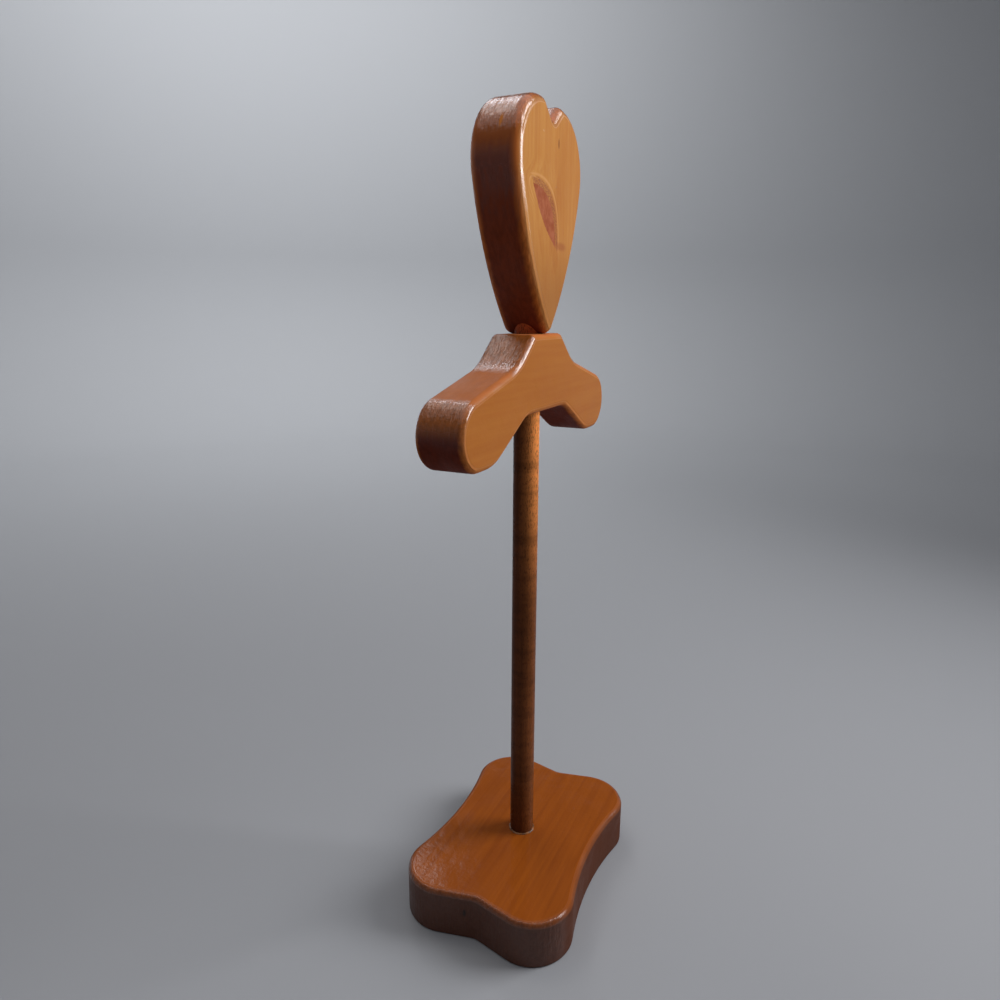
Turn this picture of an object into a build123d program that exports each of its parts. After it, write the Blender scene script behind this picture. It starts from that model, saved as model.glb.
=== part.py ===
from build123d import *
import math
import os

# Clothes stand for small coats: a scalloped base board, a round post, a shoulder
# board cut like a coat hanger and a heart that takes the hat.
# Millimetres, +Z up. The origin is the middle of the base's underside, on the floor.
# The boards' lengths run along X and the front faces -Y.

# Base board
BASE_LENGTH = 187.0
BASE_WIDTH = 135.0
BASE_THICKNESS = 38.0
BASE_CORNER_RADIUS = 32.0
LONG_SIDE_WAIST_DEPTH = 7.0
SHORT_SIDE_WAIST_DEPTH = 7.0
SHORT_SIDE_WAIST_RADIUS = 12.0
BASE_TOP_ROUNDING = 4.5
BASE_FOOT_ROUNDING = 1.5

# Post, glued into all three boards
POST_DIAMETER = 19.0
POST_DEPTH_IN_BASE = 26.0
POST_DEPTH_IN_HEART = 50.0
POST_END_CHAMFER = 1.0
GLUE_GAP = 0.1

# Shoulder board
NECK_HEIGHT = 444.0
NECK_WIDTH = 57.0
NECK_CORNER_RADIUS = 5.0
SADDLE_RADIUS = 51.0
SADDLE_DIP = 24.5
SADDLE_SPACING = 147.5
SHOULDER_WIDTH = 256.0
SHOULDER_DROP = 79.5
SHOULDER_END_RADIUS = 22.5
SHOULDER_THICKNESS = 33.5
SHOULDER_EDGE_ROUNDING = 4.5
ARCH_RISE = 26.0
ARCH_SPACING = 56.5
ARCH_RADIUS = 28.0
ARCH_FOOT_SPACING = 189.0
ARCH_FOOT_RADIUS = 39.0

# Heart, standing on the neck
HEART_HEIGHT = 147.5
HEART_LOBE_RADIUS = 40.5
HEART_LOBE_SPACING = 34.0
HEART_CROWN_RADIUS = 8.5
HEART_SIDE_RADIUS = 228.0
HEART_TIP_RADIUS = 7.5
HEART_CLEFT_DEPTH = 10.5
HEART_CLEFT_RADIUS = 3.0
HEART_THICKNESS = 35.0
HEART_EDGE_ROUNDING = 7.0

# Countersunk wood screw from below into the post's end grain
SCREW_LENGTH = 45.0
SCREW_SHANK_DIAMETER = 4.5
SCREW_HEAD_DIAMETER = 9.0
SCREW_HEAD_HEIGHT = 2.6
SCREW_HEAD_SINK = 1.0
SCREW_POINT_LENGTH = 5.0
SCREW_RECESS_SPAN = 4.6
SCREW_RECESS_WIDTH = 1.2
SCREW_RECESS_DEPTH = 1.4
SCREW_CLEARANCE = 0.1

# Finishing nails from the back through each upper board into the post
NAIL_LENGTH = 20.0
NAIL_DIAMETER = 1.8
NAIL_HEAD_DIAMETER = 2.8
NAIL_HEAD_HEIGHT = 1.5
NAIL_SINK = 1.0
NAIL_POINT_LENGTH = 2.5
NAIL_CLEARANCE = 0.05
SHOULDER_NAIL_BELOW_NECK = 30.0
HEART_NAIL_ABOVE_TIP = 35.0

# Levels above the floor
base_top = BASE_THICKNESS
heart_tip = NECK_HEIGHT
heart_top = heart_tip + HEART_HEIGHT
post_foot = base_top - POST_DEPTH_IN_BASE
post_top = heart_tip + POST_DEPTH_IN_HEART
shoulder_nail_height = NECK_HEIGHT - SHOULDER_NAIL_BELOW_NECK
heart_nail_height = heart_tip + HEART_NAIL_ABOVE_TIP

bore_radius = POST_DIAMETER / 2 + GLUE_GAP
SEAT = (Align.CENTER, Align.CENTER, Align.MIN)


def left_of(right_half):
    """The right half's circles mirrored to the left, in the order of a round trip."""
    return [(-x, y, radius) for x, y, radius in reversed(right_half)]


def belt_outline(circles):
    """The face inside a belt that runs anticlockwise round circles (x, y, radius).

    The outline bulges along a circle with a positive radius and is hollow along one
    with a negative radius. Tangent lines join circles that don't touch each other.
    """
    turns = []
    for here, after in zip(circles, circles[1:] + circles[:1]):
        reach_x, reach_y = after[0] - here[0], after[1] - here[1]
        share = (here[2] - after[2]) / math.hypot(reach_x, reach_y)
        turns.append(math.atan2(reach_y, reach_x) - math.acos(round(share, 9)))

    def on_circle(circle, turn):
        x, y, radius = circle
        return (x + radius * math.cos(turn), y + radius * math.sin(turn))

    edges = []
    for index, circle in enumerate(circles):
        turn_in, turn_out = turns[index - 1], turns[index]
        swing = math.remainder(turn_out - turn_in, math.tau)
        start, end = on_circle(circle, turn_in), on_circle(circle, turn_out)
        edges.append(ThreePointArc(start, on_circle(circle, turn_in + swing / 2), end))
        following = on_circle(circles[(index + 1) % len(circles)], turn_out)
        if math.dist(end, following) > 1e-6:
            edges.append(Line(end, following))
    return make_face(edges)


def base_outline():
    """Rounded rectangle with a waist in the middle of each side."""
    corner_x = BASE_LENGTH / 2 - BASE_CORNER_RADIUS
    corner_y = BASE_WIDTH / 2 - BASE_CORNER_RADIUS
    # The long waist's arc runs straight into the corners' arcs, which gives its radius.
    bow = (corner_x ** 2 + LONG_SIDE_WAIST_DEPTH ** 2) / (2 * LONG_SIDE_WAIST_DEPTH)
    long_waist_radius = bow - BASE_CORNER_RADIUS
    waist_x = BASE_LENGTH / 2 - SHORT_SIDE_WAIST_DEPTH + SHORT_SIDE_WAIST_RADIUS
    waist_y = BASE_WIDTH / 2 - LONG_SIDE_WAIST_DEPTH + long_waist_radius
    upper_half = [
        (waist_x, 0, -SHORT_SIDE_WAIST_RADIUS),
        (corner_x, corner_y, BASE_CORNER_RADIUS),
        (0, waist_y, -long_waist_radius),
        (-corner_x, corner_y, BASE_CORNER_RADIUS),
    ]
    lower_half = [(-x, -y, radius) for x, y, radius in upper_half]
    return belt_outline(upper_half + lower_half)


def shoulder_outline():
    """Coat-hanger outline in X and Z: arch, round ends, saddles and flat neck."""
    underside = NECK_HEIGHT - SHOULDER_DROP
    arch = (ARCH_SPACING / 2, underside + ARCH_RISE - ARCH_RADIUS, -ARCH_RADIUS)
    arch_foot = (ARCH_FOOT_SPACING / 2, underside + ARCH_FOOT_RADIUS, ARCH_FOOT_RADIUS)
    end = (SHOULDER_WIDTH / 2 - SHOULDER_END_RADIUS, underside + SHOULDER_END_RADIUS,
           SHOULDER_END_RADIUS)
    saddle = (SADDLE_SPACING / 2, NECK_HEIGHT - SADDLE_DIP + SADDLE_RADIUS, -SADDLE_RADIUS)
    neck_corner = (NECK_WIDTH / 2 - NECK_CORNER_RADIUS, NECK_HEIGHT - NECK_CORNER_RADIUS,
                   NECK_CORNER_RADIUS)
    right_half = [arch, arch_foot, end, saddle, neck_corner]
    return belt_outline(right_half + left_of(right_half))


def heart_outline():
    """Heart in X and Z: tip, bowed sides, two lobes, their crowns and the cleft."""
    tip_z = heart_tip + HEART_TIP_RADIUS
    lobe_x, lobe_z = HEART_LOBE_SPACING / 2, heart_top - HEART_LOBE_RADIUS
    # The side's circle holds the tip's and the lobe's circles and touches both.
    to_tip = HEART_SIDE_RADIUS - HEART_TIP_RADIUS
    to_lobe = HEART_SIDE_RADIUS - HEART_LOBE_RADIUS
    span = math.hypot(lobe_x, lobe_z - tip_z)
    along = (to_tip ** 2 - to_lobe ** 2 + span ** 2) / (2 * span)
    aside = math.sqrt(to_tip ** 2 - along ** 2)
    lean_x, lean_z = lobe_x / span, (lobe_z - tip_z) / span
    side_x = along * lean_x - aside * lean_z
    side_z = tip_z + along * lean_z + aside * lean_x
    tip = (0, tip_z, HEART_TIP_RADIUS)
    cleft = (0, heart_top - HEART_CLEFT_DEPTH + HEART_CLEFT_RADIUS, -HEART_CLEFT_RADIUS)
    right_half = [
        (side_x, side_z, HEART_SIDE_RADIUS),
        (lobe_x, lobe_z, HEART_LOBE_RADIUS),
        (lobe_x, heart_top - HEART_CROWN_RADIUS, HEART_CROWN_RADIUS),
    ]
    return belt_outline([tip] + right_half + [cleft] + left_of(right_half))


def upright_board(outline, thickness, rounding):
    """A board that stands in X and Z, with the edges of both faces rounded."""
    board = extrude(Plane.XZ * outline, thickness / 2, both=True)
    faces = board.faces().filter_by(Axis.Y)
    return fillet(faces.edges(), rounding)


def rod(radius, foot, top):
    """A round bar on the post's axis between two levels."""
    return Pos(0, 0, foot) * extrude(Circle(radius), top - foot)


def screw(clearance=0.0):
    """The screw's body, point up, or with a clearance the hole that takes it."""
    head_face = SCREW_HEAD_SINK - clearance
    head_end = SCREW_HEAD_SINK + SCREW_HEAD_HEIGHT
    point = SCREW_HEAD_SINK + SCREW_LENGTH + clearance
    head_radius = SCREW_HEAD_DIAMETER / 2 + clearance
    shank_radius = SCREW_SHANK_DIAMETER / 2 + clearance
    profile = Polyline(
        (0, head_face),
        (head_radius, head_face),
        (shank_radius, head_end),
        (shank_radius, point - SCREW_POINT_LENGTH),
        (0, point),
        close=True,
    )
    return revolve(Plane.XZ * make_face(profile), Axis.Z)


def nail(board_thickness, height, clearance=0.0):
    """A nail driven forwards from a board's back, or the hole that takes it."""
    head_radius = NAIL_HEAD_DIAMETER / 2 + clearance
    shank_radius = NAIL_DIAMETER / 2 + clearance
    point = -NAIL_LENGTH - clearance
    profile = Polyline(
        (0, clearance),
        (head_radius, clearance),
        (head_radius, -NAIL_HEAD_HEIGHT),
        (shank_radius, -NAIL_HEAD_HEIGHT),
        (shank_radius, point + NAIL_POINT_LENGTH),
        (0, point),
        close=True,
    )
    head_face = board_thickness / 2 - NAIL_SINK
    return Pos(0, head_face, height) * revolve(make_face(profile), Axis.Y)


def nail_hole(board_thickness, height):
    """The nail's hole with the short punch mark behind its sunk head."""
    mark = extrude(Plane.XZ * Circle(NAIL_HEAD_DIAMETER / 2 + NAIL_CLEARANCE), -NAIL_SINK)
    mark = Pos(0, board_thickness / 2 - NAIL_SINK, height) * mark
    return nail(board_thickness, height, NAIL_CLEARANCE) + mark


def base_board():
    board = extrude(base_outline(), BASE_THICKNESS)
    board = fillet(board.faces().sort_by(Axis.Z)[-1].edges(), BASE_TOP_ROUNDING)
    board = fillet(board.faces().sort_by(Axis.Z)[0].edges(), BASE_FOOT_ROUNDING)
    countersink = rod(SCREW_HEAD_DIAMETER / 2 + SCREW_CLEARANCE, 0, SCREW_HEAD_SINK)
    return board - rod(bore_radius, post_foot, base_top) - screw(SCREW_CLEARANCE) - countersink


def post():
    dowel = rod(POST_DIAMETER / 2, post_foot, post_top)
    dowel = chamfer(dowel.edges().filter_by(GeomType.CIRCLE), POST_END_CHAMFER)
    return dowel - screw(SCREW_CLEARANCE) - shoulder_nail_hole() - heart_nail_hole()


def shoulder_board():
    board = upright_board(shoulder_outline(), SHOULDER_THICKNESS, SHOULDER_EDGE_ROUNDING)
    return board - rod(bore_radius, NECK_HEIGHT - SHOULDER_DROP, NECK_HEIGHT) - shoulder_nail_hole()


def heart_board():
    board = upright_board(heart_outline(), HEART_THICKNESS, HEART_EDGE_ROUNDING)
    return board - rod(bore_radius, heart_tip, post_top + GLUE_GAP) - heart_nail_hole()


def base_screw():
    """The screw with a cross recess in its head."""
    recess = Box(SCREW_RECESS_SPAN, SCREW_RECESS_WIDTH, SCREW_RECESS_DEPTH, align=SEAT)
    recess += Rot(0, 0, 90) * recess
    return screw() - Pos(0, 0, SCREW_HEAD_SINK) * recess


def shoulder_nail_hole():
    return nail_hole(SHOULDER_THICKNESS, shoulder_nail_height)


def heart_nail_hole():
    return nail_hole(HEART_THICKNESS, heart_nail_height)


def build_parts():
    return {
        "base_board": base_board(),
        "post": post(),
        "shoulder_board": shoulder_board(),
        "heart_board": heart_board(),
        "base_screw": base_screw(),
        "shoulder_nail": nail(SHOULDER_THICKNESS, shoulder_nail_height),
        "heart_nail": nail(HEART_THICKNESS, heart_nail_height),
    }


os.makedirs("parts", exist_ok=True)
for name, solid in build_parts().items():
    export_step(solid, f"parts/{name}.step")
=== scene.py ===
"""Finishes the coat stand in thick amber varnish over pine and sets it in a plain studio."""

import math

import bpy
from bpy.props import FloatProperty, FloatVectorProperty, IntProperty, PointerProperty
from mathutils import Euler, Matrix, Vector


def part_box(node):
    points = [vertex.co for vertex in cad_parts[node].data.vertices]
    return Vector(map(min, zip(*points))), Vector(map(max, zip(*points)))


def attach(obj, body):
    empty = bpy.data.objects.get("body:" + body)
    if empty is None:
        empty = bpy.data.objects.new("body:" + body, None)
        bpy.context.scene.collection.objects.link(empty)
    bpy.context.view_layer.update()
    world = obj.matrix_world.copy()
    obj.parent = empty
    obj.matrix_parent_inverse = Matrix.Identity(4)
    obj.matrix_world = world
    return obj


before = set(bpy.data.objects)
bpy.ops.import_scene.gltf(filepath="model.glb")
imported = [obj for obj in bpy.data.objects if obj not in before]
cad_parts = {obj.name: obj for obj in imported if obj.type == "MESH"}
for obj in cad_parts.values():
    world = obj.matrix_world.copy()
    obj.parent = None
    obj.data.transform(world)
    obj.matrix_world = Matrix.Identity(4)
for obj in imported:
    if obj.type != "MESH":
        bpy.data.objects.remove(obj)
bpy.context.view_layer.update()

bl_info = {
    "name": "Coat stand",
    "version": (1, 0, 0),
    "blender": (4, 5, 0),
    "location": "3D View > Sidebar > Coat stand",
    "description": "Wood, varnish and glue finishes of a small coat stand",
    "category": "Object",
}

BODY = "root"
MILLIMETRE = 0.001

base_low, base_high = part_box("base_board")
post_low, post_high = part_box("post")
shoulder_low, shoulder_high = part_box("shoulder_board")
heart_low, heart_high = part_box("heart_board")


# Settings

def length(name, description, default):
    """A length in metres."""
    return FloatProperty(name=name, description=description, default=default,
                         unit="LENGTH", subtype="DISTANCE", precision=5)


def share(name, description, default):
    """A number from 0 to 1."""
    return FloatProperty(name=name, description=description, default=default,
                         min=0.0, max=1.0, subtype="FACTOR")


def colour(name, description, default):
    """A colour in linear light."""
    return FloatVectorProperty(name=name, description=description, default=default,
                               size=3, min=0.0, max=1.0, subtype="COLOR")


class WoodSettings(bpy.types.PropertyGroup):
    """What differs from one board to the next."""

    pale: colour("Early wood", "Pale wood between the growth lines", (0.5, 0.22, 0.06))
    deep: colour("Late wood", "Growth lines and stain blotches", (0.4, 0.14, 0.03))
    edge: colour("Sawn edge", "Edges, where the grain drinks the stain", (0.17, 0.04, 0.012))
    under: colour("Shaded edge", "Edges that face down or away", (0.05, 0.014, 0.007))
    ring_spacing: length("Ring spacing", "Distance from one growth line to the next", 0.004)
    pith_side: length("Pith to the side", "Tree's centre, across the board's width", 0.02)
    pith_depth: length("Pith in depth", "Tree's centre, through the board's thickness", 0.06)
    wander: length("Wander", "How far the growth lines stray from true", 0.006)
    figure: share("Figure", "How plainly the growth lines show", 0.3)
    mottle: share("Mottle", "Blotches that the stain left", 0.4)
    roughness: share("Roughness", "Of the varnish on the broad faces", 0.16)
    specular: share("Specular", "Strength of the varnish's plain reflections", 0.25)


class VarnishSettings(bpy.types.PropertyGroup):
    """The thick coat that all the wood shares, glossy where end grain took it up."""

    wet: share("Wet coat", "Weight of the clear top coat on end grain", 0.9)
    wet_roughness: share("Wet roughness", "Of the varnish on end grain", 0.2)
    dull_roughness: share("Dull roughness", "Of the varnish on side grain", 0.8)
    ripple: length("Ripple", "Height of the brushed waves", 0.0003)
    face_grain: length("Face grain", "Height of the grain on broad faces", 0.00004)
    end_grain: length("End grain", "Height of the grain on sawn ends", 0.0009)


class KnotSettings(bpy.types.PropertyGroup):
    """The long knot through the heart: its sizes and colours."""

    side: length("To the side", "From the post's axis to the knot's middle", -0.0147)
    up: length("Up", "From the floor to the knot's middle", 0.519)
    turn: FloatProperty(name="Turn", description="Of its long axis, from level",
                        default=math.radians(-42.0), subtype="ANGLE")
    half_length: length("Half length", "From its middle to either tip", 0.0265)
    half_width: length("Half width", "From its middle line to its side", 0.0085)
    deep: colour("Dark core", "Deeper wood of the knot", (0.34, 0.085, 0.03))
    pale: colour("Pale core", "Paler wood of the knot", (0.43, 0.13, 0.055))
    crust: colour("Crust", "Rough rim above the knot", (0.26, 0.07, 0.04))
    rim: colour("Rim", "Fine pale lines round the knot", (0.8, 0.42, 0.17))


class GlueBeadSettings(bpy.types.PropertyGroup):
    """The bead of glue where the post enters the base."""

    width: length("Width", "From the post's side outward", 0.0011)
    height: length("Height", "Along the post", 0.0009)
    steps: IntProperty(name="Steps", description="Faces round the post", default=96, min=24)
    tint: colour("Tint", "Colour of the varnished glue", (0.34, 0.14, 0.05))


class StageSettings(bpy.types.PropertyGroup):
    """Camera, floor and lights."""

    camera_distance: length("Camera distance", "From the post's axis, over the floor", 0.528)
    camera_height: length("Camera height", "Above the floor", 0.4575)
    camera_bearing: FloatProperty(
        name="Camera bearing", description="Round the post from the front, to the right",
        default=math.radians(-66.568), subtype="ANGLE")
    camera_heading: FloatProperty(
        name="Camera heading", description="Where the lens points, from +Y to the left",
        default=math.radians(-64.49), subtype="ANGLE")
    camera_tilt: FloatProperty(
        name="Camera tilt", description="Below the horizon",
        default=math.radians(14.352), subtype="ANGLE")
    camera_roll: FloatProperty(
        name="Camera roll", description="About the lens's axis",
        default=math.radians(0.2002), subtype="ANGLE")
    lens: FloatProperty(name="Lens", description="Focal length in millimetres",
                        default=26.204, subtype="DISTANCE_CAMERA")
    floor_radius: length("Floor radius", "Flat part of the floor", 2.2)
    cove_radius: length("Cove radius", "Of the bend from floor to wall", 0.7)
    wall_height: length("Wall height", "Of the plain wall round the floor", 1.85)
    floor_tint: colour("Floor tint", "Pale floor and wall", (0.38, 0.39, 0.405))


class CoatStandSettings(bpy.types.PropertyGroup):
    """All that a user of the stand would change."""

    base: PointerProperty(type=WoodSettings)
    post: PointerProperty(type=WoodSettings)
    shoulder: PointerProperty(type=WoodSettings)
    heart: PointerProperty(type=WoodSettings)
    varnish: PointerProperty(type=VarnishSettings)
    knot: PointerProperty(type=KnotSettings)
    bead: PointerProperty(type=GlueBeadSettings)
    stage: PointerProperty(type=StageSettings)


def set_woods(stand):
    """Gives each board its own tone and cut."""
    stand.base.pale = (0.34, 0.084, 0.009)
    stand.base.deep = (0.25, 0.056, 0.0065)
    stand.base.edge = (0.17, 0.045, 0.010)
    stand.base.under = (0.085, 0.025, 0.011)
    stand.base.pith_side = 0.035
    stand.base.pith_depth = -0.085
    stand.base.ring_spacing = 0.008
    stand.base.roughness = 0.13

    stand.post.pale = (0.15, 0.043, 0.014)
    stand.post.deep = (0.045, 0.013, 0.006)
    stand.post.edge = (0.06, 0.018, 0.008)
    stand.post.pith_side = 0.05
    stand.post.pith_depth = -0.03
    stand.post.ring_spacing = 0.003
    stand.post.wander = 0.003
    stand.post.roughness = 0.3
    stand.post.specular = 0.06

    stand.shoulder.pale = (0.46, 0.158, 0.027)
    stand.shoulder.deep = (0.375, 0.112, 0.018)
    stand.shoulder.edge = (0.40, 0.112, 0.020)
    stand.shoulder.under = (0.12, 0.016, 0.005)
    stand.shoulder.pith_side = -0.04
    stand.shoulder.pith_depth = 0.11
    stand.shoulder.ring_spacing = 0.009
    stand.shoulder.figure = 0.15
    stand.shoulder.mottle = 0.25

    stand.heart.pale = (0.58, 0.262, 0.064)
    stand.heart.deep = (0.47, 0.172, 0.038)
    stand.heart.edge = (0.50, 0.125, 0.018)
    stand.heart.under = (0.19, 0.032, 0.008)
    stand.heart.pith_side = 0.05
    stand.heart.pith_depth = 0.12
    stand.heart.ring_spacing = 0.009


# Wiring of materials

class Wiring:
    """Adds nodes to one node tree and joins them."""

    def __init__(self, tree):
        self.tree = tree

    def feed(self, socket, value):
        """Joins a socket to another node's output, or sets it to a plain value."""
        if isinstance(value, bpy.types.NodeSocket):
            self.tree.links.new(value, socket)
        else:
            socket.default_value = value

    def node(self, kind, feeds=(), **settings):
        """A new node with its settings and what feeds its named or numbered sockets."""
        made = self.tree.nodes.new(kind)
        for name, value in settings.items():
            setattr(made, name, value)
        for name, value in dict(feeds).items():
            self.feed(made.inputs[name], value)
        return made

    def math(self, operation, *values):
        feeds = dict(enumerate(values))
        return self.node("ShaderNodeMath", feeds, operation=operation).outputs[0]

    def vector(self, operation, *values):
        feeds = dict(enumerate(values))
        made = self.node("ShaderNodeVectorMath", feeds, operation=operation)
        return made.outputs["Value" if operation == "LENGTH" else "Vector"]

    def ramp(self, value, start, end, low=0.0, high=1.0):
        """Runs smoothly from low to high as the value goes from start to end."""
        feeds = {"Value": value, "From Min": start, "From Max": end,
                 "To Min": low, "To Max": high}
        return self.node("ShaderNodeMapRange", feeds,
                         interpolation_type="SMOOTHSTEP").outputs["Result"]

    def mix(self, amount, first, second):
        """One number over another."""
        return self.node("ShaderNodeMix", {0: amount, 2: first, 3: second}).outputs[0]

    def noise(self, where, scale, detail, roughness, output="Fac"):
        feeds = {"Vector": where, "Scale": scale, "Detail": detail, "Roughness": roughness}
        return self.node("ShaderNodeTexNoise", feeds).outputs[output]

    def blend(self, amount, first, second):
        """One colour over another."""
        feeds = {0: amount, 6: first, 7: second}
        return self.node("ShaderNodeMix", feeds, data_type="RGBA").outputs[2]

    def group(self, tree, **feeds):
        made = self.node("ShaderNodeGroup", node_tree=tree)
        for name, value in feeds.items():
            self.feed(made.inputs[name.replace("_", " ").capitalize()], value)
        return made.outputs


def new_group(name, inputs, outputs):
    """An empty shader node group with float sockets, but a vector one named Place."""
    tree = bpy.data.node_groups.new(name, "ShaderNodeTree")
    for socket in inputs:
        kind = "NodeSocketVector" if socket == "Place" else "NodeSocketFloat"
        tree.interface.new_socket(name=socket, in_out="INPUT", socket_type=kind)
    for socket in outputs:
        tree.interface.new_socket(name=socket, in_out="OUTPUT", socket_type="NodeSocketFloat")
    wiring = Wiring(tree)
    entry = wiring.node("NodeGroupInput").outputs
    leave = wiring.node("NodeGroupOutput").inputs
    return tree, wiring, entry, leave


def grain_group():
    """Growth lines, fibres and stain blotches of a board whose grain runs along Z."""
    tree, w, entry, leave = new_group(
        "Grain",
        ["Place", "Pith side", "Pith depth", "Ring spacing", "Wander"],
        ["Late wood", "Fibre", "Blotch"],
    )
    place = entry["Place"]
    slow = w.vector("MULTIPLY", place, (1.0, 1.0, 0.16))
    stray = w.vector("SUBTRACT", w.noise(slow, 16.0, 2.0, 0.45, "Color"), (0.5, 0.5, 0.5))
    reach = w.node("ShaderNodeCombineXYZ", {0: entry["Wander"], 1: entry["Wander"]}).outputs[0]
    stray = w.vector("MULTIPLY", stray, reach)
    pith = w.node("ShaderNodeCombineXYZ",
                  {0: entry["Pith side"], 1: entry["Pith depth"]}).outputs[0]
    across = w.vector("SUBTRACT", w.vector("ADD", place, stray), pith)
    radius = w.vector("LENGTH", w.vector("MULTIPLY", across, (1.0, 1.0, 0.0)))
    rings = w.math("DIVIDE", radius, entry["Ring spacing"])
    phase = w.math("FRACT", rings)
    year = w.node("ShaderNodeTexWhiteNoise", {"W": w.math("FLOOR", rings)},
                  noise_dimensions="1D").outputs["Value"]
    late = w.math("MULTIPLY", w.ramp(phase, 0.25, 0.88), w.ramp(phase, 1.0, 0.9))
    late = w.math("MULTIPLY", late, w.ramp(year, 0.0, 1.0, 0.35, 1.0))
    fibre = w.noise(w.vector("MULTIPLY", place, (1.0, 1.0, 0.045)), 330.0, 5.0, 0.62)
    blotch = w.noise(w.vector("MULTIPLY", place, (1.0, 1.0, 0.4)), 26.0, 3.0, 0.55)
    w.feed(leave["Late wood"], late)
    w.feed(leave["Fibre"], fibre)
    w.feed(leave["Blotch"], blotch)
    return tree


def sawn_edge_group():
    """Tells the sawn edge from the broad faces, and how its surface lies.

    Depth is how far a point lies under the board's face. Along and Across are how far
    the surface faces down the grain and squarely off it, and Upward how far it faces up.
    Wet is end grain that doesn't face down, where the varnish lies thick.
    """
    tree, w, entry, leave = new_group(
        "Sawn edge", ["Depth", "Rounding", "Ragged", "Along", "Across", "Upward"],
        ["Edge", "Off face", "Shade", "End grain", "Wet"])
    ragged = w.math("MULTIPLY", entry["Ragged"], 0.0016)
    part = w.math("DIVIDE", w.math("ADD", entry["Depth"], ragged), entry["Rounding"])
    edge = w.ramp(part, -0.05, 0.45)
    ragged_up = w.math("ADD", entry["Upward"], w.math("MULTIPLY", entry["Ragged"], 0.35))
    shade = w.ramp(ragged_up, 0.5, -0.1)
    along, across = w.math("ABSOLUTE", entry["Along"]), w.math("ABSOLUTE", entry["Across"])
    squarely = w.math("ARCTAN2", along, across)
    squarely = w.ramp(squarely, math.radians(6.0), math.radians(28.0))
    thick = w.ramp(entry["Upward"], -0.35, 0.4)
    w.feed(leave["Edge"], edge)
    w.feed(leave["Shade"], w.math("MULTIPLY", w.ramp(part, 0.3, 1.0), shade))
    clean_part = w.math("DIVIDE", entry["Depth"], entry["Rounding"])
    w.feed(leave["Off face"], w.ramp(clean_part, 0.003, 0.04))
    end_grain = w.math("MULTIPLY", w.ramp(clean_part, 0.02, 0.12), squarely)
    w.feed(leave["End grain"], end_grain)
    w.feed(leave["Wet"], w.math("MULTIPLY", end_grain, thick))
    return tree


def varnish_group():
    """Height and roughness of brushed varnish over the wood's relief."""
    tree, w, entry, leave = new_group(
        "Varnish",
        ["Place", "Relief", "Ripple", "Edge", "Wet", "Face roughness",
         "Dull roughness", "Wet roughness"],
        ["Height", "Roughness"],
    )
    place = entry["Place"]
    wave = w.noise(place, 70.0, 1.0, 0.4)
    peel = w.noise(place, 380.0, 1.0, 0.5)
    ripple = w.math("ADD", wave, w.math("MULTIPLY", peel, 0.3))
    ripple = w.math("MULTIPLY", ripple, entry["Ripple"])
    specks = w.node("ShaderNodeTexVoronoi", {"Vector": place, "Scale": 170.0}).outputs
    rare = w.node("ShaderNodeSeparateColor", {0: specks["Color"]}).outputs[0]
    dust = w.math("MULTIPLY", w.ramp(rare, 0.93, 0.94), w.ramp(specks["Distance"], 0.12, 0.03))
    dust = w.math("MULTIPLY", dust, 0.0001)
    height = w.math("ADD", w.math("ADD", ripple, entry["Relief"]), dust)
    rough = w.mix(entry["Edge"], entry["Face roughness"], entry["Dull roughness"])
    rough = w.mix(entry["Wet"], rough, entry["Wet roughness"])
    smear = w.noise(place, 34.0, 4.0, 0.6)
    rough = w.math("MULTIPLY", rough, w.ramp(smear, 0.3, 0.75, 0.8, 1.35))
    w.feed(leave["Height"], height)
    w.feed(leave["Roughness"], rough)
    return tree


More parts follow.
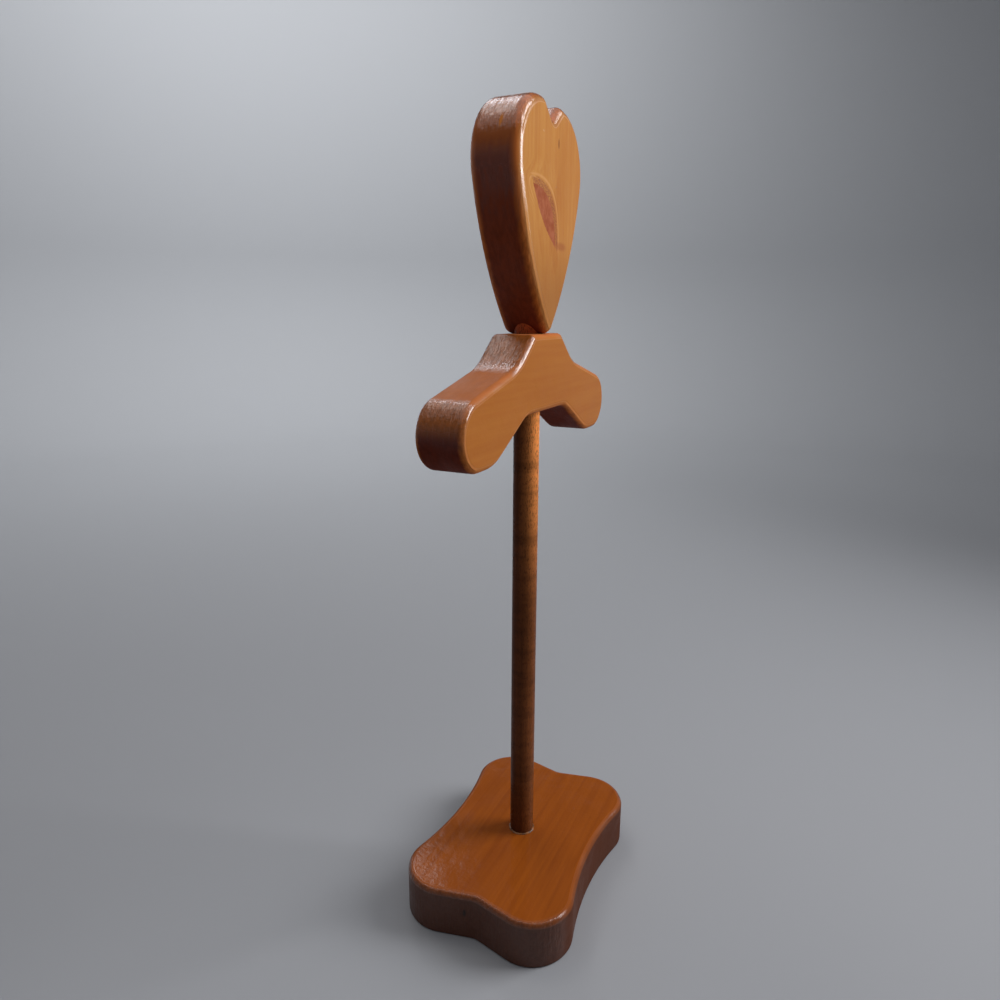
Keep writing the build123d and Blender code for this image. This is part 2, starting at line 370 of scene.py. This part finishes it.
def knot_group():
    """A lens-shaped knot that runs through a board, seen along the depth axis."""
    tree, w, entry, leave = new_group(
        "Knot",
        ["Place", "Side", "Up", "Turn", "Half length", "Half width"],
        ["Heart wood", "Crust", "Rim", "Pull"],
    )
    split = w.node("ShaderNodeSeparateXYZ", {0: entry["Place"]}).outputs
    side = w.math("SUBTRACT", split["X"], entry["Side"])
    up = w.math("SUBTRACT", split["Z"], entry["Up"])
    cosine, sine = w.math("COSINE", entry["Turn"]), w.math("SINE", entry["Turn"])
    along = w.math("ADD", w.math("MULTIPLY", side, cosine), w.math("MULTIPLY", up, sine))
    aside = w.math("SUBTRACT", w.math("MULTIPLY", up, cosine), w.math("MULTIPLY", side, sine))
    far = w.math("DIVIDE", along, entry["Half length"])
    far_squared = w.math("MULTIPLY", far, far)
    aside = w.math("DIVIDE", aside, entry["Half width"])
    bulge = w.math("MULTIPLY", w.math("SUBTRACT", 1.0, far_squared), 0.55)
    wide = w.math("ABSOLUTE", w.math("SUBTRACT", aside, bulge))
    ragged = w.noise(entry["Place"], 300.0, 3.0, 0.65)
    ragged = w.math("MULTIPLY", w.math("SUBTRACT", ragged, 0.5), 0.3)
    # A lens is as wide as what its length leaves: wide + far squared is 1 on its rim.
    lens = w.math("ADD", wide, far_squared)
    rough_lens = w.math("ADD", lens, ragged)
    upper = w.ramp(aside, -0.1, 0.4)
    specks = w.noise(entry["Place"], 1100.0, 2.0, 0.5)
    crust = w.math("MULTIPLY", w.ramp(rough_lens, 0.95, 1.0), w.ramp(rough_lens, 1.8, 1.5))
    crust = w.math("MULTIPLY", crust, upper)
    crust = w.math("MULTIPLY", crust, w.ramp(specks, 0.42, 0.54, 0.25, 1.0))
    outline = w.math("MULTIPLY", w.ramp(lens, 1.75, 1.9), w.ramp(lens, 2.15, 1.95))
    outline = w.math("MULTIPLY", outline, upper)
    near_start = w.ramp(far, -0.55, -0.85)
    loop = w.math("SQRT", w.math("ADD", far_squared, w.math("MULTIPLY", wide, wide)))
    loop = w.math("FRACT", w.math("MULTIPLY", loop, 4.0))
    loop = w.math("MULTIPLY", w.ramp(loop, 0.55, 0.8), w.ramp(loop, 1.0, 0.85))
    loop = w.math("MULTIPLY", w.math("MULTIPLY", loop, near_start), w.ramp(lens, 2.4, 1.6))
    loop = w.math("MULTIPLY", loop, w.ramp(lens, 1.0, 1.2))
    w.feed(leave["Heart wood"], w.ramp(rough_lens, 1.03, 0.95))
    w.feed(leave["Crust"], crust)
    w.feed(leave["Rim"], w.math("MAXIMUM", outline, loop))
    w.feed(leave["Pull"], w.ramp(lens, 4.0, 0.8))
    return tree


def shared_groups():
    """The groups that every wood uses, built once."""
    builders = {"Grain": grain_group, "Sawn edge": sawn_edge_group,
                "Varnish": varnish_group, "Knot": knot_group}
    return {name: bpy.data.node_groups.get(name) or build() for name, build in builders.items()}


# Wood

HEART_ROUNDING = 7 * MILLIMETRE
SHOULDER_ROUNDING = 4.5 * MILLIMETRE
BASE_ROUNDING = 4.5 * MILLIMETRE
GRAIN_ALONG_X = (0.0, math.radians(-90.0), 0.0)
GRAIN_UPRIGHT = (0.0, 0.0, 0.0)

# Painted light on the side of the post that faces the window lamp.
POST_PAINTED_LIGHT = (1.0, 0.34, 0.085, 1.0)
POST_NECK = (0.75, 0.15, 0.045, 1.0)

# Each mark's centre, how far it reaches along each axis, its strength and its colour.
BASE_STAIN = ((-0.090, 0.0077, 0.0225), (0.006, 0.0018, 0.0045), 0.8,
              (0.012, 0.008, 0.006, 1.0))
SMUDGE = ((0.016, heart_low.y, 0.5027), (0.012, 0.004, 0.0036), 0.5,
          (0.34, 0.085, 0.03, 1.0))
SLIT = ((0.008, heart_low.y, 0.5669), (0.0015, 0.003, 0.004), 0.7,
        (0.14, 0.04, 0.015, 1.0))
FLECK = ((-0.0525, -0.0036, 0.5705), (0.006, 0.0016, 0.006), 0.9,
         (1.0, 0.33, 0.06, 1.0))


def four(rgb, factor=1.0):
    return (*[channel * factor for channel in rgb], 1.0)


def empty_material(name):
    material = bpy.data.materials.new(name)
    material.use_nodes = True
    material.node_tree.nodes.clear()
    return material, Wiring(material.node_tree)


def grain_of(w, groups, wood, place, turn, centre):
    """The Grain group on a board whose grain runs along Z once it is turned."""
    moved = w.vector("SUBTRACT", place, tuple(centre))
    feeds = {"Vector": moved, "Rotation": turn}
    local = w.node("ShaderNodeMapping", feeds, vector_type="POINT").outputs[0]
    return w.group(groups["Grain"], place=local, pith_side=wood.pith_side,
                   pith_depth=wood.pith_depth, ring_spacing=wood.ring_spacing,
                   wander=wood.wander)


def edge_of(w, groups, depth, rounding, grain, normal, along, across):
    """The Sawn edge group, with the surface's lie read from its normal."""
    lie = w.node("ShaderNodeSeparateXYZ", {0: normal}).outputs
    ragged = w.math("SUBTRACT", grain["Fibre"], 0.5)
    return w.group(groups["Sawn edge"], depth=depth, rounding=rounding, ragged=ragged,
                   along=lie[along], across=lie[across], upward=lie["Z"])


def depth_under_faces(w, place, axis, face):
    """How far a point lies under the nearer of two faces at +face and -face."""
    split = w.node("ShaderNodeSeparateXYZ", {0: place}).outputs
    return w.math("SUBTRACT", face, w.math("ABSOLUTE", split[axis]))


def mark(w, place, tone, centre, reach, strength, stain):
    """Lays a soft-edged mark over a tone, and gives the new tone and the mark's mask."""
    share_of_reach = w.vector("DIVIDE", w.vector("SUBTRACT", place, centre), reach)
    inside = w.ramp(w.vector("LENGTH", share_of_reach), 1.05, 0.35)
    return w.blend(w.math("MULTIPLY", inside, strength), tone, stain), inside


def wood_colour(w, wood, grain, edge):
    """Pale and deep wood by growth line and fibre, then the stained sawn edge."""
    fibre = w.ramp(grain["Fibre"], 0.34, 0.68)
    figure = w.math("MULTIPLY", grain["Late wood"], wood.figure)
    figure = w.math("ADD", figure, w.math("MULTIPLY", fibre, 0.35))
    blotch = w.math("MULTIPLY", w.ramp(grain["Blotch"], 0.4, 0.75), wood.mottle)
    tone = w.blend(w.math("ADD", figure, blotch), four(wood.pale), four(wood.deep))
    streaks = w.math("MULTIPLY", fibre, 0.6)
    sawn = w.blend(streaks, four(wood.edge, 1.25), four(wood.edge, 0.6))
    sawn = w.blend(edge["End grain"], four(wood.edge, 1.3), sawn)
    shaded = w.blend(streaks, four(wood.under, 1.2), four(wood.under, 0.7))
    tone = w.blend(edge["Edge"], tone, sawn)
    return w.blend(edge["Shade"], tone, shaded)


def grain_relief(w, varnish, place, grain, edge):
    """Height of the grain under the varnish: raised growth lines where it is cut across."""
    lines = w.noise(w.vector("MULTIPLY", place, (0.2, 1.0, 0.2)), 420.0, 3.0, 0.6)
    ribs = w.noise(w.vector("MULTIPLY", place, (1.0, 0.2, 1.0)), 900.0, 2.0, 0.5)
    cut_across = w.math("ADD", lines, w.math("MULTIPLY", ribs, 0.12))
    cut_across = w.math("MULTIPLY", cut_across, varnish.end_grain)
    smooth = w.math("MULTIPLY", grain["Fibre"], varnish.face_grain)
    return w.mix(edge["End grain"], smooth, cut_across)


def varnished_wood(name, varnish, wood, paint):
    """A wood material; paint gives its tone and relief, and where it is off the face and wet."""
    material, w = empty_material(name)
    groups = shared_groups()
    surface = w.node("ShaderNodeTexCoord").outputs
    tone, relief, edge, wet = paint(w, groups, surface["Object"], surface["Normal"])
    gloss = w.group(groups["Varnish"], place=surface["Object"], relief=relief,
                    ripple=varnish.ripple, edge=edge, wet=wet,
                    face_roughness=wood.roughness, dull_roughness=varnish.dull_roughness,
                    wet_roughness=varnish.wet_roughness)
    bump = w.node("ShaderNodeBump", {"Height": gloss["Height"], "Distance": 1.0,
                                     "Strength": 1.0}).outputs[0]
    coat = w.math("MULTIPLY", wet, varnish.wet)
    shader = w.node("ShaderNodeBsdfPrincipled", {
        "Base Color": tone, "Roughness": gloss["Roughness"], "Normal": bump, "IOR": 1.5,
        "Specular IOR Level": wood.specular, "Coat Weight": coat,
        "Coat Roughness": varnish.wet_roughness, "Coat Normal": bump})
    w.node("ShaderNodeOutputMaterial", {"Surface": shader.outputs[0]})
    return material


def dress(node, material):
    """Gives a CAD node's object a material in each of its slots."""
    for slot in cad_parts[node].material_slots:
        slot.material = material


class COATSTAND_OT_base_board(bpy.types.Operator):
    """Finish the base board, darker down its sawn sides"""

    bl_idname = "coatstand.base_board"
    bl_label = "Base board"

    def execute(self, context):
        stand = context.scene.coat_stand

        def paint(w, groups, place, normal):
            centre = (base_low + base_high) / 2
            grain = grain_of(w, groups, stand.base, place, GRAIN_ALONG_X, centre)
            height = w.node("ShaderNodeSeparateXYZ", {0: place}).outputs["Z"]
            depth = w.math("SUBTRACT", base_high.z, height)
            edge = edge_of(w, groups, depth, BASE_ROUNDING, grain, normal, "X", "Y")
            tone = wood_colour(w, stand.base, grain, edge)
            tone, _ = mark(w, place, tone, *BASE_STAIN)
            relief = grain_relief(w, stand.varnish, place, grain, edge)
            return tone, relief, edge["Off face"], edge["Wet"]

        dress("base_board", varnished_wood("Base pine", stand.varnish, stand.base, paint))
        return {"FINISHED"}


class COATSTAND_OT_post(bpy.types.Operator):
    """Finish the post in dark hardwood with fine pores"""

    bl_idname = "coatstand.post"
    bl_label = "Post"

    def execute(self, context):
        stand = context.scene.coat_stand

        def paint(w, groups, place, normal):
            wood = stand.post
            grain = grain_of(w, groups, wood, place, GRAIN_UPRIGHT, (0.0, 0.0, 0.0))
            # A depth below zero is never an edge, so the post is face all over.
            edge = edge_of(w, groups, -1.0, 1.0, grain, normal, "Z", "X")
            tone = wood_colour(w, wood, grain, edge)
            drawn_out = w.vector("MULTIPLY", place, (1.0, 1.0, 0.3))
            pores = w.ramp(w.noise(drawn_out, 1300.0, 2.0, 0.6), 0.5, 0.64)
            split = w.node("ShaderNodeSeparateXYZ", {0: place}).outputs
            # Painted light: the post's side towards the window lamp is made lighter, more so
            # towards the top.
            painted_lit_side = w.math("SUBTRACT", w.math("MULTIPLY", split["X"], 0.4), split["Y"])
            painted_lit_side = w.ramp(painted_lit_side, -0.007, 0.008)
            painted_lit_side = w.math("MULTIPLY", painted_lit_side, w.ramp(split["Z"], 0.22, 0.40, 0.1, 1.0))
            tone = w.blend(painted_lit_side, tone, POST_PAINTED_LIGHT)
            neck = w.ramp(split["Z"], shoulder_high.z - 0.002, shoulder_high.z + 0.001)
            tone = w.blend(w.math("MULTIPLY", neck, 0.9), tone, POST_NECK)
            bands = w.noise(w.vector("MULTIPLY", place, (0.1, 0.1, 1.0)), 90.0, 3.0, 0.55)
            bands = w.math("MULTIPLY", w.ramp(bands, 0.45, 0.7), 0.4)
            tone = w.blend(bands, tone, four(wood.deep, 0.55))
            tone = w.blend(w.math("MULTIPLY", pores, 0.55), tone, four(wood.edge))
            relief = w.math("MULTIPLY", w.math("SUBTRACT", 1.0, pores), 0.00005)
            return tone, relief, edge["Off face"], edge["Wet"]

        dress("post", varnished_wood("Post hardwood", stand.varnish, stand.post, paint))
        return {"FINISHED"}


class COATSTAND_OT_shoulder_board(bpy.types.Operator):
    """Finish the shoulder board, with end grain on its slopes and ends"""

    bl_idname = "coatstand.shoulder_board"
    bl_label = "Shoulder board"

    def execute(self, context):
        stand = context.scene.coat_stand

        def paint(w, groups, place, normal):
            centre = (shoulder_low + shoulder_high) / 2
            grain = grain_of(w, groups, stand.shoulder, place, GRAIN_ALONG_X, centre)
            depth = depth_under_faces(w, place, "Y", shoulder_high.y)
            edge = edge_of(w, groups, depth, SHOULDER_ROUNDING, grain, normal, "X", "Z")
            tone = wood_colour(w, stand.shoulder, grain, edge)
            relief = grain_relief(w, stand.varnish, place, grain, edge)
            return tone, relief, edge["Off face"], edge["Wet"]

        material = varnished_wood("Shoulder pine", stand.varnish, stand.shoulder, paint)
        dress("shoulder_board", material)
        return {"FINISHED"}


class COATSTAND_OT_heart_board(bpy.types.Operator):
    """Finish the heart, with its long knot on the face"""

    bl_idname = "coatstand.heart_board"
    bl_label = "Heart board"

    def execute(self, context):
        stand = context.scene.coat_stand
        size = stand.knot

        def paint(w, groups, place, normal):
            centre = (heart_low + heart_high) / 2
            knot = w.group(groups["Knot"], place=place, side=size.side, up=size.up,
                           turn=size.turn, half_length=size.half_length,
                           half_width=size.half_width)
            # The grain bends round the knot, because places near it are drawn towards it.
            pull = w.math("MULTIPLY", knot["Pull"], 0.35)
            feeds = {0: pull, 4: place, 5: (size.side, 0.0, size.up)}
            bent = w.node("ShaderNodeMix", feeds, data_type="VECTOR").outputs[1]
            grain = grain_of(w, groups, stand.heart, bent, GRAIN_UPRIGHT, centre)
            depth = depth_under_faces(w, place, "Y", heart_high.y)
            edge = edge_of(w, groups, depth, HEART_ROUNDING, grain, normal, "Z", "X")
            height = w.node("ShaderNodeSeparateXYZ", {0: place}).outputs["Z"]
            # The face grows darker towards the heart's tip, its line made uneven by the blotch
            # noise.
            darker_low = w.math("ADD", height, w.math("MULTIPLY", grain["Blotch"], 0.03))
            darker_low = w.ramp(darker_low, 0.535, 0.475)
            tone = wood_colour(w, stand.heart, grain, edge)
            face = w.math("SUBTRACT", 1.0, w.math("MAXIMUM", edge["Edge"], edge["Shade"]))
            toe = w.math("MULTIPLY", w.math("MULTIPLY", darker_low, 0.75), face)
            tone = w.blend(toe, tone, four(stand.heart.deep, 0.75))
            rim = w.math("MULTIPLY", w.math("MULTIPLY", knot["Rim"], 0.35), face)
            tone = w.blend(rim, tone, four(size.rim))
            core = w.noise(place, 160.0, 3.0, 0.6)
            core = w.blend(w.ramp(core, 0.35, 0.65), four(size.deep), four(size.pale))
            tone = w.blend(knot["Heart wood"], tone, core)
            crust = w.math("MULTIPLY", knot["Crust"], 0.75)
            tone = w.blend(crust, tone, four(size.crust))
            tone, _ = mark(w, place, tone, *SMUDGE)
            tone, _ = mark(w, place, tone, *SLIT)
            tone, fleck = mark(w, place, tone, *FLECK)
            uneven = w.math("MULTIPLY", w.math("SUBTRACT", grain["Fibre"], 0.5), 0.06)
            pooled_high = w.ramp(w.math("ADD", height, uneven), 0.515, 0.550)
            pooled_high = w.math("MULTIPLY", pooled_high, edge["Off face"])
            wet = w.math("MAXIMUM", edge["Wet"], pooled_high)
            wet = w.math("MULTIPLY", wet, w.math("SUBTRACT", 1.0, fleck))
            relief = grain_relief(w, stand.varnish, place, grain, edge)
            return tone, relief, edge["Off face"], wet

        dress("heart_board", varnished_wood("Heart pine", stand.varnish, stand.heart, paint))
        return {"FINISHED"}


class COATSTAND_OT_glue_bead(bpy.types.Operator):
    """Lay the bead of glue round the foot of the post"""

    bl_idname = "coatstand.glue_bead"
    bl_label = "Glue bead"

    def execute(self, context):
        bead = context.scene.coat_stand.bead
        post_radius = (post_high.x - post_low.x) / 2
        bpy.ops.object.select_all(action="DESELECT")
        bpy.ops.mesh.primitive_torus_add(major_radius=post_radius, minor_radius=bead.width,
                                         major_segments=bead.steps, minor_segments=12)
        ring = context.object
        ring.name = "glue_bead"
        bpy.ops.object.mode_set(mode="EDIT")
        bpy.ops.mesh.select_all(action="SELECT")
        bpy.ops.transform.resize(value=(1.0, 1.0, bead.height / bead.width))
        bpy.ops.transform.translate(value=(0.0, 0.0, base_high.z))
        bpy.ops.mesh.normals_make_consistent(inside=False)
        bpy.ops.object.mode_set(mode="OBJECT")
        bpy.ops.object.shade_smooth()

        material, w = empty_material("Varnished glue")
        place = w.node("ShaderNodeTexCoord").outputs["Object"]
        lumps = w.noise(place, 260.0, 3.0, 0.55)
        tone = w.blend(w.ramp(lumps, 0.4, 0.6), four(bead.tint, 0.35), four(bead.tint))
        height = w.math("MULTIPLY", lumps, 0.0004)
        bump = w.node("ShaderNodeBump", {"Height": height, "Distance": 1.0}).outputs[0]
        rough = w.ramp(lumps, 0.3, 0.7, 0.3, 0.2)
        shader = w.node("ShaderNodeBsdfPrincipled", {
            "Base Color": tone, "Roughness": rough, "Normal": bump})
        w.node("ShaderNodeOutputMaterial", {"Surface": shader.outputs[0]})
        ring.data.materials.append(material)
        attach(ring, BODY)
        return {"FINISHED"}


class COATSTAND_OT_fixings(bpy.types.Operator):
    """Finish the screw and the nails in bright steel"""

    bl_idname = "coatstand.fixings"
    bl_label = "Screw and nails"

    def execute(self, context):
        material, w = empty_material("Fixing steel")
        place = w.node("ShaderNodeTexCoord").outputs["Object"]
        scratches = w.noise(w.vector("MULTIPLY", place, (1.0, 1.0, 0.2)), 2600.0, 4.0, 0.6)
        tone = w.blend(scratches, (0.42, 0.41, 0.39, 1.0), (0.62, 0.61, 0.58, 1.0))
        rough = w.ramp(scratches, 0.3, 0.7, 0.25, 0.45)
        height = w.math("MULTIPLY", scratches, 0.00003)
        bump = w.node("ShaderNodeBump", {"Height": height, "Distance": 1.0}).outputs[0]
        shader = w.node("ShaderNodeBsdfPrincipled", {
            "Base Color": tone, "Roughness": rough, "Metallic": 1.0, "Normal": bump})
        w.node("ShaderNodeOutputMaterial", {"Surface": shader.outputs[0]})
        for node in ("base_screw", "shoulder_nail", "heart_nail"):
            dress(node, material)
        return {"FINISHED"}


# Stage

DAYLIGHT = (0.97, 0.97, 1.0)
SOFT_WHITE = (0.97, 0.96, 1.0)
COOL_WHITE = (0.97, 0.98, 1.0)
WARM_WHITE = (1.0, 0.9, 0.82)
ROOM_AIR = (0.8, 0.84, 0.9, 1.0)
ROOM_AIR_STRENGTH = 0.08
COVE_STEPS = 12

# Each light's name, place, aim, width, height, watts, tint and spread in degrees.
# The high soft box's narrow beam takes in the heart and the shoulders but not the base.
LIGHTS = (
    ("window", (0.76, -1.165, 1.25), (0.0, 0.0, 1.05), 0.85, 1.4, 17.0, DAYLIGHT, 125.0),
    ("ceiling", (0.0, 0.0, 2.9), (0.0, 0.0, 0.0), 3.7, 3.7, 29.0, SOFT_WHITE, 180.0),
    ("high_soft_box", (1.45, 1.25, 2.25), (0.0, 0.0, 0.56), 1.1, 1.1, 0.2, SOFT_WHITE, 15.0),
    ("rear_soft_box", (0.37, 1.2, 2.72), (0.0, 0.0, 0.45), 0.9, 0.9, 0.52, WARM_WHITE, 60.0),
    ("backdrop_wash", (0.9, 1.0, 2.7), (2.3, 1.9, 0.5), 1.8, 0.5, 30.0, COOL_WHITE, 115.0),
)


def area_light(name, place, aim, width, height, watts, tint, spread):
    """A soft rectangle of light at a place, aimed at a point."""
    bpy.ops.object.select_all(action="DESELECT")
    turn = (Vector(aim) - Vector(place)).to_track_quat("-Z", "Y").to_euler()
    bpy.ops.object.light_add(type="AREA", location=place, rotation=turn)
    lamp = bpy.context.object
    lamp.name = name
    lamp.data.shape = "RECTANGLE"
    lamp.data.size = width
    lamp.data.size_y = height
    lamp.data.energy = watts
    lamp.data.color = tint
    lamp.data.spread = math.radians(spread)


class COATSTAND_OT_stage(bpy.types.Operator):
    """Set up the camera, the pale floor and the soft lights"""

    bl_idname = "coatstand.stage"
    bl_label = "Stage"

    def execute(self, context):
        stage = context.scene.coat_stand.stage
        bearing = stage.camera_bearing
        place = (math.sin(bearing) * stage.camera_distance,
                 -math.cos(bearing) * stage.camera_distance, stage.camera_height)
        level = Euler((math.pi / 2 - stage.camera_tilt, 0.0, stage.camera_heading))
        turned = level.to_matrix() @ Matrix.Rotation(stage.camera_roll, 3, "Z")
        bpy.ops.object.camera_add(location=place, rotation=turned.to_euler())
        camera = context.object
        camera.data.lens = stage.lens
        camera.data.clip_start = 0.02
        context.scene.camera = camera

        bpy.ops.object.select_all(action="DESELECT")
        bpy.ops.mesh.primitive_circle_add(vertices=128, radius=stage.floor_radius,
                                          fill_type="NGON")
        floor = context.object
        floor.name = "floor"
        bpy.ops.object.mode_set(mode="EDIT")
        bpy.ops.mesh.select_mode(type="EDGE")
        bpy.ops.mesh.select_all(action="SELECT")
        for step in range(1, COVE_STEPS + 1):
            before = math.pi / 2 * (step - 1) / COVE_STEPS
            after = math.pi / 2 * step / COVE_STEPS
            rise = stage.cove_radius * (math.cos(before) - math.cos(after))
            radius_before = stage.floor_radius + stage.cove_radius * math.sin(before)
            radius_after = stage.floor_radius + stage.cove_radius * math.sin(after)
            growth = radius_after / radius_before
            bpy.ops.mesh.extrude_edges_move(TRANSFORM_OT_translate={"value": (0, 0, rise)})
            bpy.ops.transform.resize(value=(growth, growth, 1.0))
        wall = stage.wall_height - stage.cove_radius
        bpy.ops.mesh.extrude_edges_move(TRANSFORM_OT_translate={"value": (0, 0, wall)})
        bpy.ops.mesh.select_all(action="SELECT")
        bpy.ops.mesh.normals_make_consistent(inside=True)
        bpy.ops.object.mode_set(mode="OBJECT")
        bpy.ops.object.shade_smooth()

        material, w = empty_material("Floor")
        shader = w.node("ShaderNodeBsdfPrincipled", {
            "Base Color": four(stage.floor_tint), "Roughness": 0.85})
        w.node("ShaderNodeOutputMaterial", {"Surface": shader.outputs[0]})
        floor.data.materials.append(material)

        for light in LIGHTS:
            area_light(*light)

        world = bpy.data.worlds.new("Studio air")
        world.use_nodes = True
        background = world.node_tree.nodes["Background"]
        background.inputs["Color"].default_value = ROOM_AIR
        background.inputs["Strength"].default_value = ROOM_AIR_STRENGTH
        context.scene.world = world
        context.scene.view_settings.view_transform = "Standard"
        return {"FINISHED"}


class VIEW3D_PT_coat_stand(bpy.types.Panel):
    """Buttons that finish the coat stand, piece by piece"""

    bl_label = "Coat stand"
    bl_space_type = "VIEW_3D"
    bl_region_type = "UI"
    bl_category = "Coat stand"

    def draw(self, context):
        for operator in OPERATORS:
            self.layout.operator(operator.bl_idname)


OPERATORS = (
    COATSTAND_OT_base_board,
    COATSTAND_OT_post,
    COATSTAND_OT_shoulder_board,
    COATSTAND_OT_heart_board,
    COATSTAND_OT_glue_bead,
    COATSTAND_OT_fixings,
    COATSTAND_OT_stage,
)
CLASSES = (
    WoodSettings, VarnishSettings, KnotSettings, GlueBeadSettings, StageSettings,
    CoatStandSettings, *OPERATORS, VIEW3D_PT_coat_stand,
)


def register():
    for kind in CLASSES:
        bpy.utils.register_class(kind)
    bpy.types.Scene.coat_stand = PointerProperty(type=CoatStandSettings)


def unregister():
    del bpy.types.Scene.coat_stand
    for kind in reversed(CLASSES):
        bpy.utils.unregister_class(kind)


def main():
    register()
    set_woods(bpy.context.scene.coat_stand)
    bpy.ops.coatstand.base_board()
    bpy.ops.coatstand.post()
    bpy.ops.coatstand.shoulder_board()
    bpy.ops.coatstand.heart_board()
    bpy.ops.coatstand.glue_bead()
    bpy.ops.coatstand.fixings()
    bpy.ops.coatstand.stage()


if __name__ == "__main__":
    main()
